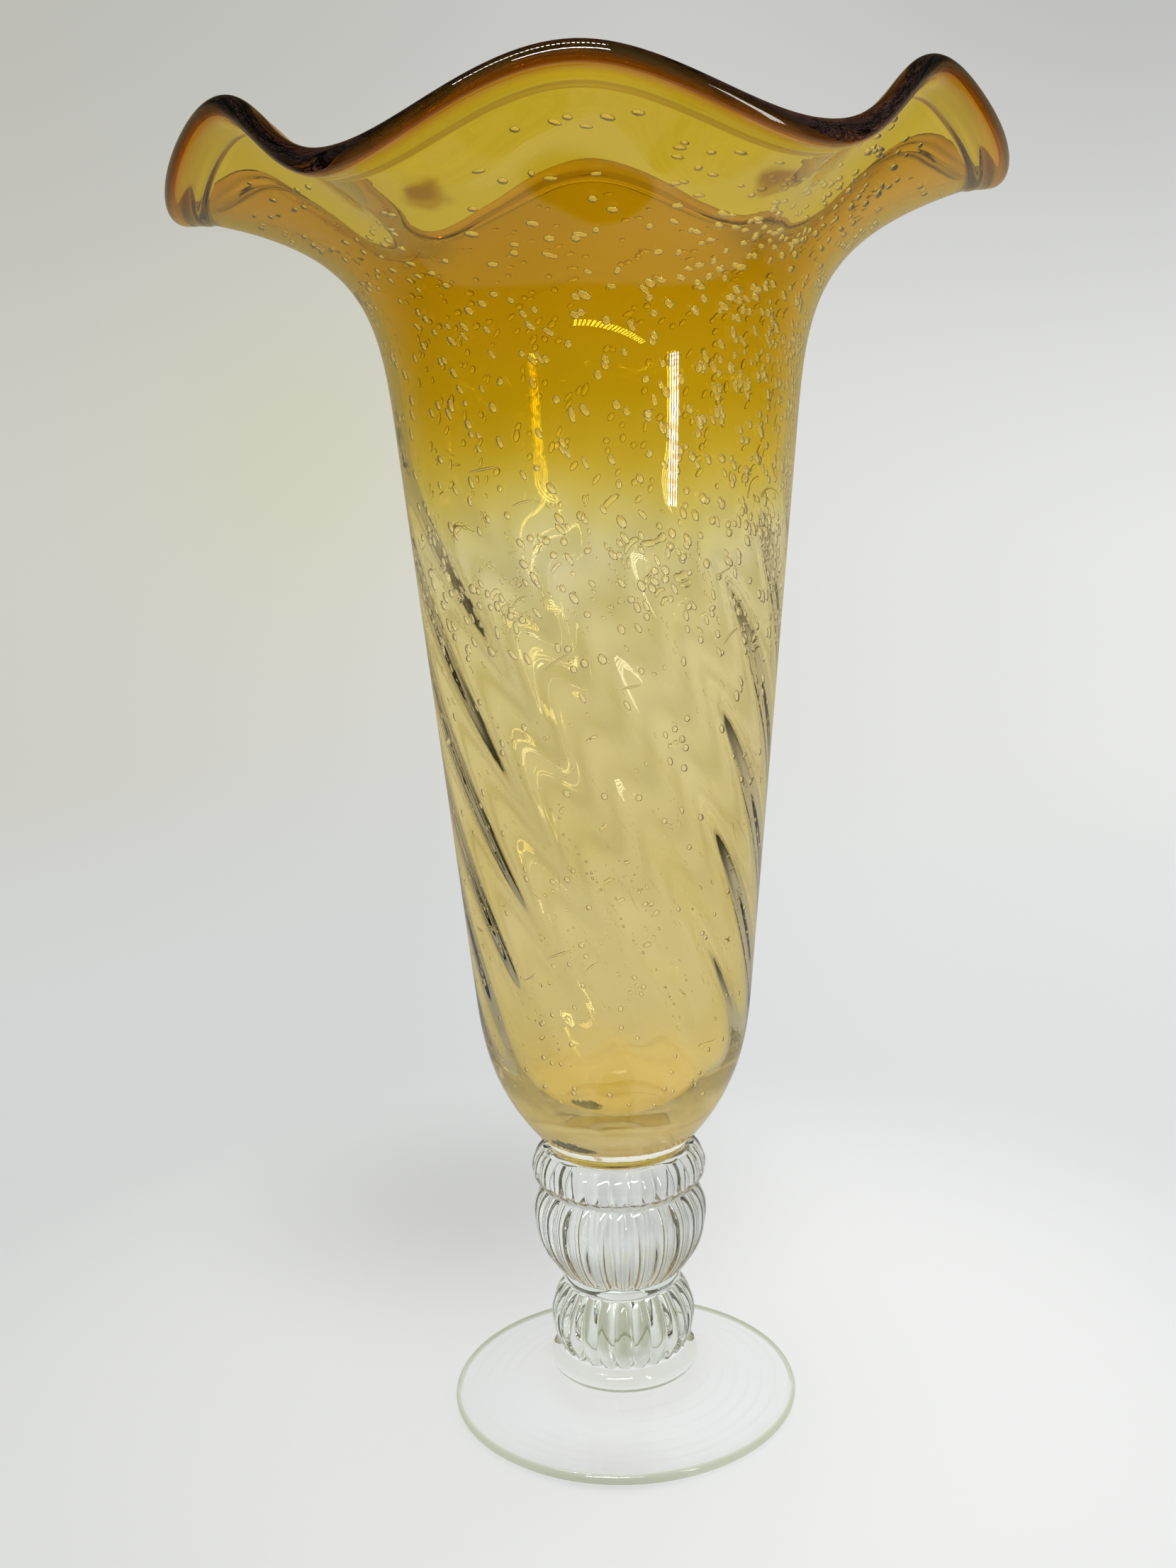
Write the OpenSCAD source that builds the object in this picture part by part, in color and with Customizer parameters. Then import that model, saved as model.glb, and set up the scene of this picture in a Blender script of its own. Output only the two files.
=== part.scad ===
// Ruffled glass vase: a hollow amber bowl with a wavy flared rim and twisted ribs
// inside, on a clear ribbed stem and a round foot. Millimetres, +Z up. The origin is
// the middle of the foot's underside, and the front of the vase looks along -Y.

/* [Foot] */
// Radius of the foot
foot_r = 66; // [50:0.5:90]
// Thickness of the foot at its rounded edge
foot_edge_t = 4.3; // [3:0.1:8]
// Height of the foot in the middle, under the stem
foot_hub_h = 13; // [9:0.5:20]
// How steeply the foot thins towards its edge
foot_curve = 2.6; // [1.5:0.1:4]

/* [Foot ring] */
// Radius of the ring that stands on the foot
foot_ring_r = 28.3; // [24:0.1:34]
// Height of the ring that stands on the foot
foot_ring_h = 8.5; // [6:0.1:12]

/* [Lower knop] */
// Largest radius of the lower knop
lower_knop_r = 27.5; // [25:0.1:33]
// Radius of the lower knop where it stands on the foot ring
lower_knop_base_r = 23.6; // [20:0.1:24]
// Radius of the lower knop at its top
lower_knop_top_r = 21.8; // [19:0.1:24]
// Height of the lower knop
lower_knop_h = 26.5; // [20:0.5:40]
// Where up the lower knop its largest radius lies
lower_knop_belly_share = 0.48; // [0.3:0.01:0.7]

/* [Waist] */
// Largest radius of the plain ring between the knops
waist_r = 22.6; // [20:0.1:26]
// Height of the plain ring between the knops
waist_h = 5.5; // [4:0.1:8]

/* [Upper knop] */
// Largest radius of the upper knop
upper_knop_r = 32.9; // [29:0.1:40]
// Radius of the upper knop at its base
upper_knop_base_r = 22.8; // [19:0.1:26]
// Radius of the upper knop in the crease under the collar
upper_knop_top_r = 28.5; // [25:0.1:29]
// Height of the upper knop
upper_knop_h = 34; // [24:0.5:50]
// Where up the upper knop its largest radius lies
upper_knop_belly_share = 0.68; // [0.4:0.01:0.8]

/* [Collar] */
// Largest radius of the rolled collar under the bowl
collar_r = 33; // [30:0.1:40]
// Radius of the collar's flat top
collar_top_r = 28.6; // [28:0.1:30]
// Height of the collar
collar_h = 15.5; // [12:0.5:20]
// Where up the collar its largest radius lies
collar_belly_share = 0.5; // [0.3:0.01:0.7]

/* [Knop ribs] */
// Number of upright ribs round the knops and the collar
knop_ribs = 24; // [12:1:32]
// Depth of the grooves between the ribs of the knops
knop_rib_depth = 1.4; // [0.4:0.1:2]
// Depth of the grooves between the ribs of the collar
collar_rib_depth = 0.7; // [0.2:0.1:2]

/* [Join] */
// Radius of the clear join at its foot
join_r = 25; // [20:0.1:27]
// Height of the clear join between the collar and the bowl
join_h = 3.5; // [2:0.1:8]

/* [Bowl] */
// Radius of the bowl's flat seat on the join
bowl_base_r = 27.2; // [22:0.1:34]
// Radius of the tapered body, run down to the height of the seat
body_low_r = 45.8; // [40:0.1:55]
// Radius of the body at the neck, where the flare starts
neck_r = 69.4; // [60:0.1:80]
// Height of the body, from its seat to the neck
body_h = 259.5; // [200:0.5:320]
// Height of the rounded bottom of the body
cup_h = 60; // [40:0.5:80]
// How full the rounded bottom is
cup_curve = 2.75; // [2:0.05:4]
// Height of the bowl's thick base piece, from its seat to its seam with the body
bowl_base_h = 33.5; // [20:0.5:38]
// Thickness of the bowl's wall
wall = 4; // [3:0.1:6]
// Thickness of the glass under the inside of the bowl
floor_t = 9; // [6:0.5:16]
// Radius of the flat middle of the inside bottom
floor_r = 20; // [14:0.5:24]

/* [Flare] */
// Height of the flare, from the neck to the middle of the wavy rim
flare_h = 90.3; // [60:0.5:120]
// Radius that the flare's curve is drawn towards at its throat
throat_r = 75; // [72:0.5:90]
// Radius of the rim, midway between its crests and dips
rim_r = 134.4; // [110:0.5:160]
// How far up the flare the straight neck pulls its curve
neck_pull_share = 0.47; // [0.3:0.01:0.6]
// How far up the flare the throat pulls its curve
throat_pull_share = 0.73; // [0.65:0.01:0.85]

/* [Ruffles] */
// Number of ruffles round the rim
ruffles = 6; // [4:1:8]
// How far the crests rise, and the dips fall, from the middle of the rim
ruffle_rise = 11; // [4:0.5:20]
// How far the dips reach out, and the crests draw in
ruffle_reach = 2.9; // [0:0.1:10]
// How much higher the rim is on its right side than in the middle
rim_tilt = 2.1; // [0:0.1:6]

/* [Lip] */
// Width of the applied lip, from its root to the middle of its bead
lip_w = 13; // [8:0.5:20]
// Thickness of the lip's band
lip_t = 5.2; // [4.2:0.1:7.5]
// Diameter of the rounded bead on the lip's edge
bead_d = 8; // [6:0.1:12]

/* [Inside ribs] */
// Number of twisted ribs inside the bowl
ribs = 14; // [8:1:20]
// Height of the ribs off the inside wall
rib_depth = 1.8; // [0.4:0.1:3]
// Turn of the ribs over the height of the body, in degrees
rib_turn = 156; // [0:1:240]
// Turn of the ribs at the height of the seat, in degrees
rib_start_turn = 4.4; // [0:0.1:26]

/* [Hidden] */

// The fineness of the round parts and of the meshes
$fn = 96;
bowl_sides = 96;
knop_sides = 6 * knop_ribs;
base_steps = 6;
cup_steps = 3;
foot_steps = 10;
edge_steps = 8;
knop_steps = 8;
collar_steps = 7;
rib_steps = 21;
floor_steps = 5;
flare_steps = 9;
// How far the rings of the rounded bottom crowd towards its middle
ring_crowding = 1.5;

// How each crest and dip departs from the even wave, from the back crest round past
// the left side, the front and the right side: as shares of the wave's rise, of the
// same rise outwards, and of the angle from a crest to the next dip
lift_shares = [0.5, -0.1, -0.25, 0, 0, 0.1, 0, 0.1, 0.1, -0.05, -0.3, 0];
reach_shares = [0, 0.05, 0.1, 0.1, 0.15, -0.4, 0.45, -0.3, -0.15, -0.05, 0.1, 0];
turn_shares = [0, 0.1, 0.1, 0, 0.14, -0.14, -0.06, 0, -0.24, 0, -0.06, -0.1];

// Heights of the seats, from the foot up
foot_ring_z = foot_hub_h;
lower_knop_z = foot_ring_z + foot_ring_h;
waist_z = lower_knop_z + lower_knop_h;
upper_knop_z = waist_z + waist_h;
collar_z = upper_knop_z + upper_knop_h;
join_z = collar_z + collar_h;
bowl_z = join_z + join_h;
floor_z = bowl_z + floor_t;
base_top_z = bowl_z + bowl_base_h;
cup_z = bowl_z + cup_h;
neck_z = bowl_z + body_h;
rim_z = neck_z + flare_h;

// Shares of the body's height at which the inside ribs start and reach their full
// height, and the share of it below the neck over which they fade
rib_start_share = 0.06;
rib_full_share = 0.36;
rib_high_fade_share = 0.22;

// Points of the lip's section, from its outer root round the bead to its inner root:
// each is a share of the lip's width along the wall, and a share of half its thickness
lip_side_shares = [[0, 1], [0.1, 1.12], [0.45, 1.12], [0.75, 1.3]];
bead_angles = [75, 40, 0, -40, -75];

function smooth(t) = t * t * (3 - 2 * t);
function mix(a, b, t) = a + (b - a) * t;
function clamp01(t) = min(1, max(0, t));

// A point on a circle of radius r, at angle a from the front towards the right
function spot(r, a, z) = [r * sin(a), -r * cos(a), z];

// A crest's or dip's own departure at angle a, blended between its neighbours
function departure(shares, a) =
    let (n = len(shares), t = (a + 180) * n / 360, i = floor(t))
    mix(shares[i % n], shares[(i + 1) % n], smooth(t - i));

// The outer edge of the rim at angle a: its radius and its height
function rim_turned(a) = a - departure(turn_shares, a) * 180 / ruffles;
function rim_radius(a) = rim_r - ruffle_reach * cos(ruffles * rim_turned(a))
    + ruffle_rise * departure(reach_shares, a);
function rim_height(a) = rim_z + ruffle_rise * cos(ruffles * rim_turned(a))
    + ruffle_rise * departure(lift_shares, a) + rim_tilt * sin(a);

// The flare's outer face: a cubic curve from the neck through the throat to the rim
function neck_slope() = (neck_r - body_low_r) / body_h;
function flare_pulls(a) = [
    [neck_r, neck_z],
    [neck_r + neck_slope() * neck_pull_share * flare_h, neck_z + neck_pull_share * flare_h],
    [throat_r, neck_z + throat_pull_share * flare_h],
    [rim_radius(a), rim_height(a)]
];
function flare_point(p, s) = pow(1 - s, 3) * p[0] + 3 * pow(1 - s, 2) * s * p[1]
    + 3 * (1 - s) * s * s * p[2] + pow(s, 3) * p[3];
function flare_way(p, s) = pow(1 - s, 2) * (p[1] - p[0]) + 2 * (1 - s) * s * (p[2] - p[1])
    + s * s * (p[3] - p[2]);
function inward(way) = [-way[1], way[0]] / norm(way);
// The flare at share s of its curve, moved off its outer face by depth
function flare_rz(a, s, depth) =
    let (p = flare_pulls(a))
    flare_point(p, s) + depth * inward(flare_way(p, s));
// The share of the curve at which the bowl ends and the lip starts
function lip_share(a) =
    let (p = flare_pulls(a))
    1 - lip_w / (3 * norm(p[3] - p[2]));

// The body's radius at height z: a taper, less a rounded bottom that starts at z0, r0
function taper_r(z) = mix(body_low_r, neck_r, (z - bowl_z) / body_h);
function body_radius(z, z0, r0, inset) =
    taper_r(z) - inset
    - (taper_r(z0) - inset - r0) * pow(1 - clamp01((z - z0) / (cup_z - z0)), cup_curve);
function rib_fade(z) =
    let (t = clamp01((z - floor_z) / (neck_z - floor_z)))
    smooth(clamp01((t - rib_start_share) / (rib_full_share - rib_start_share)))
    * smooth(clamp01((1 - t) / rib_high_fade_share));
function rib_height(a, z) =
    let (turned = a + rib_start_turn + rib_turn * (z - bowl_z) / body_h)
    rib_depth * rib_fade(z) * (1 + cos(ribs * turned)) / 2;

// Rings of points round the axis, from a list of heights or of shares of the flare
function angles(n) = [for (i = [0 : n - 1]) 360 * i / n - 180];
function outer_ring(z) =
    [for (a = angles(bowl_sides)) spot(body_radius(z, bowl_z, bowl_base_r, 0), a, z)];
function inner_ring(z) =
    [for (a = angles(bowl_sides))
        spot(body_radius(z, floor_z, floor_r, wall) - rib_height(a, z), a, z)];
function flare_ring(t, depth) =
    [for (a = angles(bowl_sides))
        let (q = flare_rz(a, t * lip_share(a), depth))
        spot(q[0], a, q[1])];

// Faces between neighbouring rings, each quad cut along one or the other diagonal
function quad(a, b, c, d, flip) = flip ? [[a, b, d], [b, c, d]] : [[a, b, c], [a, c, d]];
function band_faces(i, k, n, flip) =
    [for (j = [0 : n - 1])
        let (m = (j + 1) % n)
        each quad(i * n + j, k * n + j, k * n + m, i * n + m, flip)];

// A solid skinned over rings of points, flat at its first and last ring
module skinned(rings) {
    n = len(rings[0]);
    last = len(rings) - 1;
    polyhedron(
        points = [for (ring = rings) each ring],
        faces = concat(
            [[for (j = [0 : n - 1]) j]],
            [for (i = [0 : last - 1]) each band_faces(i, i + 1, n, false)],
            [[for (j = [n - 1 : -1 : 0]) last * n + j]]
        ),
        convexity = 8
    );
}

// A closed hoop skinned over rings of points, the last joined to the first
module hooped(rings) {
    n = len(rings[0]);
    count = len(rings);
    polyhedron(
        points = [for (ring = rings) each ring],
        faces = [for (i = [0 : count - 1]) each band_faces(i, (i + 1) % count, n, true)],
        convexity = 8
    );
}

// A knop's radius at share t of its height: two arcs of an ellipse that meet at the belly
function knop_radius(t, belly, base_r, top_r, r) =
    let (u = t < belly ? (belly - t) / belly : (t - belly) / (1 - belly))
    let (end_r = t < belly ? base_r : top_r)
    sqrt(r * r - (r * r - end_r * end_r) * u * u);

// A ribbed knop: rounded ribs with sharp grooves between them, whose depth keeps its
// share of the local radius
module ribbed_knop(z, h, belly, base_r, top_r, r, depth, steps) {
    skinned([for (i = [0 : steps])
        let (t = i / steps)
        let (local_r = knop_radius(t, belly, base_r, top_r, r))
        let (groove = depth * local_r / r)
        [for (a = angles(knop_sides))
            spot(local_r - groove * (1 - abs(cos(knop_ribs * a / 2))), a, z + h * t)]]);
}

// A plain ring with a half-round rim
module plain_ring(z, h, r) {
    translate([0, 0, z])
        rotate_extrude()
            union() {
                square([r - h / 2, h]);
                translate([r - h / 2, h / 2])
                    circle(h / 2);
            }
}

// The foot: flat below, rounded at the edge, rising to a flat seat in the middle
module foot() {
    edge_d = foot_edge_t / 2;
    edge_r = foot_r - edge_d;
    seat_r = foot_ring_r - foot_ring_h / 2;
    top = [for (i = [0 : foot_steps - 1])
        let (t = i / foot_steps)
        [mix(seat_r, edge_r, t), foot_edge_t + (foot_hub_h - foot_edge_t) * pow(1 - t, foot_curve)]];
    edge = [for (i = [edge_steps : -1 : 0])
        let (b = 180 * i / edge_steps - 90)
        [edge_r + edge_d * cos(b), edge_d + edge_d * sin(b)]];
    color("honeydew", 0.5)
        rotate_extrude()
            polygon(concat([[0, 0], [0, foot_hub_h]], top, edge));
}

module foot_ring() {
    color("azure", 0.5)
        plain_ring(foot_ring_z, foot_ring_h, foot_ring_r);
}

module lower_knop() {
    color("mintcream", 0.5)
        ribbed_knop(lower_knop_z, lower_knop_h, lower_knop_belly_share, lower_knop_base_r,
                    lower_knop_top_r, lower_knop_r, knop_rib_depth, knop_steps);
}

module waist() {
    color("azure", 0.5)
        plain_ring(waist_z, waist_h, waist_r);
}

module upper_knop() {
    color("mintcream", 0.5)
        ribbed_knop(upper_knop_z, upper_knop_h, upper_knop_belly_share, upper_knop_base_r,
                    upper_knop_top_r, upper_knop_r, knop_rib_depth, knop_steps);
}

module stem_collar() {
    color("azure", 0.5)
        ribbed_knop(collar_z, collar_h, collar_belly_share, upper_knop_top_r,
                    collar_top_r, collar_r, collar_rib_depth, collar_steps);
}

module bowl_join() {
    color("khaki", 0.5)
        translate([0, 0, join_z])
            cylinder(h = join_h, r1 = join_r, r2 = bowl_base_r);
}

// The bowl's base: its rounded outside, and the floor and cup inside it
module bowl_base() {
    outside = [for (i = [0 : base_steps])
        outer_ring(mix(bowl_z, base_top_z, pow(i / base_steps, ring_crowding)))];
    inside = [for (i = [floor_steps : -1 : 0])
        inner_ring(mix(floor_z, base_top_z, pow(i / floor_steps, ring_crowding)))];
    color("peru", 0.5)
        skinned(concat(outside, inside));
}

// The bowl's body: up its outside to the neck, and down its ribbed inside
module bowl_body() {
    outside = [for (i = [0 : cup_steps]) outer_ring(mix(base_top_z, cup_z, i / cup_steps))];
    inside = [for (i = [rib_steps : -1 : 1]) inner_ring(mix(cup_z, neck_z, i / rib_steps))];
    inside_cup = [for (i = [cup_steps : -1 : 0])
        inner_ring(mix(base_top_z, cup_z, i / cup_steps))];
    color("goldenrod", 0.5)
        hooped(concat(outside, [outer_ring(neck_z)], inside, inside_cup));
}

// The bowl's flare: up its outside to the seat of the lip, and down its inside to the neck
module bowl_flare() {
    outside = [for (i = [0 : flare_steps]) flare_ring(i / flare_steps, 0)];
    inside = [for (i = [flare_steps : -1 : 1]) flare_ring(i / flare_steps, wall)];
    color("gold", 0.5)
        hooped(concat(outside, inside, [inner_ring(neck_z)]));
}

// The lip: a band that carries the bowl's wall on, and ends in a rounded bead
module lip_wrap() {
    outer_side = [for (q = lip_side_shares) [q[0], -q[1] * (q[0] == 0 ? wall : lip_t) / 2]];
    inner_side = [for (i = [len(lip_side_shares) - 1 : -1 : 0])
        [outer_side[i][0], -outer_side[i][1]]];
    bead = [for (b = bead_angles)
        [1 + bead_d / 2 * cos(b) / lip_w, -bead_d / 2 * sin(b)]];
    section = concat(outer_side, bead, inner_side);
    rings = [for (q = section)
        [for (a = angles(bowl_sides))
            let (t = lip_share(a))
            let (along = t + (1 - t) * q[0])
            let (rz = flare_rz(a, along, wall / 2 + q[1]))
            spot(rz[0], a, rz[1])]];
    color("saddlebrown", 0.7)
        hooped(rings);
}

foot();
foot_ring();
lower_knop();
waist();
upper_knop();
stem_collar();
bowl_join();
bowl_base();
bowl_body();
bowl_flare();
lip_wrap();
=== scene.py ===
import math

import bpy
import numpy as np
from mathutils import Matrix


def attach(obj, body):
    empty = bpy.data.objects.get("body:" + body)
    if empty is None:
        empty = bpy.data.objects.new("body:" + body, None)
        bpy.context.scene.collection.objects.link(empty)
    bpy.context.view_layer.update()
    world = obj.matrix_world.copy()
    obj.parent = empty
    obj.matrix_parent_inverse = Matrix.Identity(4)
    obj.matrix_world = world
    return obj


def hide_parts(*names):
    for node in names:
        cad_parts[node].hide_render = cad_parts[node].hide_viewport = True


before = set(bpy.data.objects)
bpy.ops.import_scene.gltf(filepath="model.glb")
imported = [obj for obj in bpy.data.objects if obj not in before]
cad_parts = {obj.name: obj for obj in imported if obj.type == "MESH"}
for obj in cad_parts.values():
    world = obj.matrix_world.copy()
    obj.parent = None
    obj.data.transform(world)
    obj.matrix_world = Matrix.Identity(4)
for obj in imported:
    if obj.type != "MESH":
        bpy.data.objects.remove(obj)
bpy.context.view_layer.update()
print("frame loaded:", len(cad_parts), "nodes")

mm = 0.001
fusedNumber = 1          # the material number of faces where two pieces are fused
scene = bpy.context.scene
randomNumbers = np.random.default_rng(11)


# A smooth step: three times the square less twice the cube.
def smoothStep(t):
    t = np.clip(t, 0.0, 1.0)
    return t * t * (3.0 - 2.0 * t)


# Even angles in degrees round the axis, from the back round by the left, as one row.
def roundAngles(count):
    return (np.arange(count) * 360.0 / count - 180.0)[None, :]


# A point on a circle of the given radius, at an angle in degrees from the front towards
# the right: x is radius times sine, y is minus radius times cosine.
def ringPoints(radius, angle, height):
    turn = np.radians(angle)
    radius, turn, height = np.broadcast_arrays(radius, turn, height)
    return np.stack([radius * np.sin(turn), -radius * np.cos(turn), height], axis=-1)


# The four corners of each cell of a grid of rows by columns, the columns closed round.
def closedQuads(rows, columns):
    row = np.arange(rows - 1)[:, None] * columns
    here = np.arange(columns)[None, :]
    nextOne = (here + 1) % columns
    corners = [row + here, row + nextOne, row + columns + nextOne, row + columns + here]
    return np.stack(corners, axis=-1).reshape(-1, 4)


# Faces from a middle point to the ring of points after it (or before it, the other way round).
def fanFaces(middle, first, columns, after):
    here = np.arange(columns)
    following = (here + 1) % columns
    ends = (first + here, first + following)
    centre = np.full(columns, middle)
    return np.stack([centre, ends[1], ends[0]] if after else [ends[0], ends[1], centre], axis=-1)


# The two middle points that close a skin of rows below and above, and the fans of faces to them.
def endFans(rows):
    count, columns = rows.shape[:2]
    total = count * columns
    middles = np.array([[0.0, 0.0, rows[0, 0, 2]], [0.0, 0.0, rows[-1, 0, 2]]])
    low = fanFaces(total, 0, columns, True)
    return middles, low, fanFaces(total + 1, total - columns, columns, False)


# Puts points in mm and faces into a new mesh object. Each group of faces has a material number,
# and the edges round the fused faces are sharp, so that those don't bend the light beside them.
def makePiece(name, points, faceLists, materials, faceMaterials):
    mesh = bpy.data.meshes.new(name)
    faces = [face for group in faceLists for face in group.tolist()]
    mesh.from_pydata((points * mm).tolist(), [], faces)
    counts = [len(group) for group in faceLists]
    numbers = np.repeat(np.array(faceMaterials, dtype=np.int32), counts)
    mesh.polygons.foreach_set("material_index", numbers)
    mesh.polygons.foreach_set("use_smooth", np.ones(len(mesh.polygons), dtype=bool))
    for material in materials:
        mesh.materials.append(material)
    mesh.update()
    corners = np.repeat([group.shape[1] for group in faceLists], counts)
    fusedLoop = np.repeat(numbers == fusedNumber, corners)
    edge = np.empty(len(mesh.loops), dtype=np.int32)
    mesh.loops.foreach_get("edge_index", edge)
    sharp = np.zeros(len(mesh.edges), dtype=bool)
    sharp[np.intersect1d(edge[fusedLoop], edge[~fusedLoop])] = True
    mesh.edges.foreach_set("use_edge_sharp", sharp)
    piece = bpy.data.objects.new(name, mesh)
    scene.collection.objects.link(piece)
    return piece


# lengths in mm and angles in degrees, here and in every piece
bowl = {
    "baseZ": 106.5, "baseR": 27.2,                       # the seat on the join
    "lowR": 45.8, "neckR": 69.4, "bodyH": 259.5,
    "cupH": 60.0, "cupCurve": 2.75, "cupCrowd": 1.5,     # the rounded bottom, where rows crowd
    "wall": 4.0, "floorT": 9.0, "floorR": 20.0, "dish": 3.0,
    "dishRings": [0.97, 0.92, 0.85, 0.75, 0.6, 0.4, 0.2, 0.06],     # shares of the floor's radius
    "flareH": 90.3, "throatR": 75.0, "neckPull": 0.47, "throatPull": 0.73,
    "rimR": 134.4, "ruffles": 6, "rise": 11.0, "reach": 2.9, "tilt": 2.1,
    # each dip's and crest's own departures, from the back round by the left
    "lift": [0.5, -0.1, -0.25, 0, 0, 0.1, 0, 0.1, 0.1, -0.05, -0.3, 0],
    "spread": [0, 0.05, 0.1, 0.1, 0.15, -0.4, 0.45, -0.3, -0.15, -0.05, 0.1, 0],
    "turned": [0, 0.1, 0.1, 0, 0.14, -0.14, -0.06, 0, -0.24, 0, -0.06, -0.1],
    "ribs": 14, "ribDepth": 1.8, "ribTurn": 156.0, "ribPhase": 4.4,
    "ribLowFade": [0.06, 0.36], "ribHighFade": 0.22,     # shares of the inside's height
    "sides": 240, "bodyRows": 44, "flareRows": 38, "insideRows": 82, "cupRows": 20,
}
neckZ = bowl["baseZ"] + bowl["bodyH"]
cupZ = bowl["baseZ"] + bowl["cupH"]
floorZ = bowl["baseZ"] + bowl["floorT"]
lip = {
    "width": 13.0, "bandHalf": 2.912, "bead": 8.0,       # half the band's thickness, all of the bead's
    # shares of its width: where its seam shows, over how much it thickens, where the bead swells
    "seamShare": 0.154, "easeShare": 0.27, "beadFrom": 0.45,
    "sides": 288, "bandSteps": 20, "beadSteps": 14,
}


# Each dip's or crest's own departure, blended by smooth steps between twelve neighbours.
def departure(shares, angle):
    shares = np.asarray(shares, dtype=float)
    place = np.mod(angle + 180.0, 360.0) * len(shares) / 360.0
    index = np.floor(place).astype(int)
    here, following = shares[index % len(shares)], shares[(index + 1) % len(shares)]
    return here + (following - here) * smoothStep(place - index)


# The rim's radius and height: a cosine wave round the axis with its departures, and a sine for
# the tilt of the whole rim.
def rimEdge(angle):
    wave = angle - departure(bowl["turned"], angle) * 180.0 / bowl["ruffles"]
    crest = np.cos(np.radians(bowl["ruffles"] * wave))
    radius = bowl["rimR"] - bowl["reach"] * crest + bowl["rise"] * departure(bowl["spread"], angle)
    height = neckZ + bowl["flareH"] + bowl["rise"] * crest
    height = height + bowl["rise"] * departure(bowl["lift"], angle)
    return radius, height + bowl["tilt"] * np.sin(np.radians(angle))


# The four pull points of the flare's cubic curve at each angle, as radius and height.
def flarePulls(angle):
    slope = (bowl["neckR"] - bowl["lowR"]) / bowl["bodyH"]
    pull = bowl["neckPull"] * bowl["flareH"]
    radius, height = rimEdge(angle)
    fixed = [(bowl["neckR"], neckZ), (bowl["neckR"] + slope * pull, neckZ + pull),
             (bowl["throatR"], neckZ + bowl["throatPull"] * bowl["flareH"])]
    one = np.ones_like(radius)
    pairs = [(out * one, up * one) for out, up in fixed] + [(radius, height)]
    return [np.stack(pair, axis=-1) for pair in pairs]


# The share of the flare's curve at which the bowl ends and the lip starts.
def lipShare(angle):
    pulls = flarePulls(angle)
    return 1.0 - lip["width"] / (3.0 * np.linalg.norm(pulls[3] - pulls[2], axis=-1))


# A point of the flare: the cubic curve at a share, moved inwards off its outer face by a depth.
def flarePoint(angle, share, depth):
    angle, share, depth = np.broadcast_arrays(np.asarray(angle, float), share, depth)
    p = flarePulls(angle)
    s = share[..., None]
    spot = (1 - s) ** 3 * p[0] + 3 * (1 - s) ** 2 * s * p[1] + 3 * (1 - s) * s * s * p[2] + s ** 3 * p[3]
    way = (1 - s) ** 2 * (p[1] - p[0]) + 2 * (1 - s) * s * (p[2] - p[1]) + s * s * (p[3] - p[2])
    way = way / np.linalg.norm(way, axis=-1, keepdims=True)
    inward = np.stack([-way[..., 1], way[..., 0]], axis=-1)
    spot = spot + depth[..., None] * inward
    return ringPoints(spot[..., 0], angle, spot[..., 1])


# The body's radius at a height: a straight taper, less a rounded bottom that starts at a given
# height and radius, all moved in by an inset.
def bodyRadius(height, startZ, startR, inset):
    def taper(z):
        return bowl["lowR"] + (bowl["neckR"] - bowl["lowR"]) * (z - bowl["baseZ"]) / bowl["bodyH"]
    left = 1.0 - np.clip((height - startZ) / (cupZ - startZ), 0.0, 1.0)
    return taper(height) - inset - (taper(startZ) - inset - startR) * left ** bowl["cupCurve"]


# The inside ribs: raised cosines that wind round the axis and fade at both ends.
def ribHeight(angle, height):
    t = np.clip((height - floorZ) / (neckZ - floorZ), 0.0, 1.0)
    low, high = bowl["ribLowFade"]
    fade = smoothStep((t - low) / (high - low)) * smoothStep((1.0 - t) / bowl["ribHighFade"])
    wound = angle + bowl["ribPhase"] + bowl["ribTurn"] * (height - bowl["baseZ"]) / bowl["bodyH"]
    return bowl["ribDepth"] * fade * (1.0 + np.cos(np.radians(bowl["ribs"] * wound))) / 2.0


# The bowl's skin: rows of points up its outside, over the seat of the lip and down its inside.
def bowlRows():
    angle = roundAngles(bowl["sides"])
    up = np.linspace(0.0, 1.0, bowl["cupRows"] + 1) ** bowl["cupCrowd"]
    straight = np.linspace(cupZ, neckZ, bowl["bodyRows"] - bowl["cupRows"])[1:-1]
    outsideZ = np.concatenate([bowl["baseZ"] + bowl["cupH"] * up, straight])[:, None]
    outside = ringPoints(bodyRadius(outsideZ, bowl["baseZ"], bowl["baseR"], 0.0), angle, outsideZ)
    share = np.linspace(0.0, 1.0, bowl["flareRows"])[:, None] * lipShare(angle)
    flareOut = flarePoint(angle, share, 0.0)
    flareIn = flarePoint(angle, share, bowl["wall"])[:0:-1]
    straight = np.linspace(neckZ, cupZ, bowl["insideRows"] - bowl["cupRows"])[:-1]
    insideZ = np.concatenate([straight, floorZ + (cupZ - floorZ) * up[::-1]])[:, None]
    insideR = bodyRadius(insideZ, floorZ, bowl["floorR"], bowl["wall"]) - ribHeight(angle, insideZ)
    inside = ringPoints(insideR, angle, insideZ)
    way = np.array(bowl["dishRings"])[:, None]
    dish = ringPoints(bowl["floorR"] * way, angle, floorZ - bowl["dish"] * (1.0 - way ** 2))
    return np.concatenate([outside, flareOut, flareIn, inside, dish]), len(outside) + len(flareOut)


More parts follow.
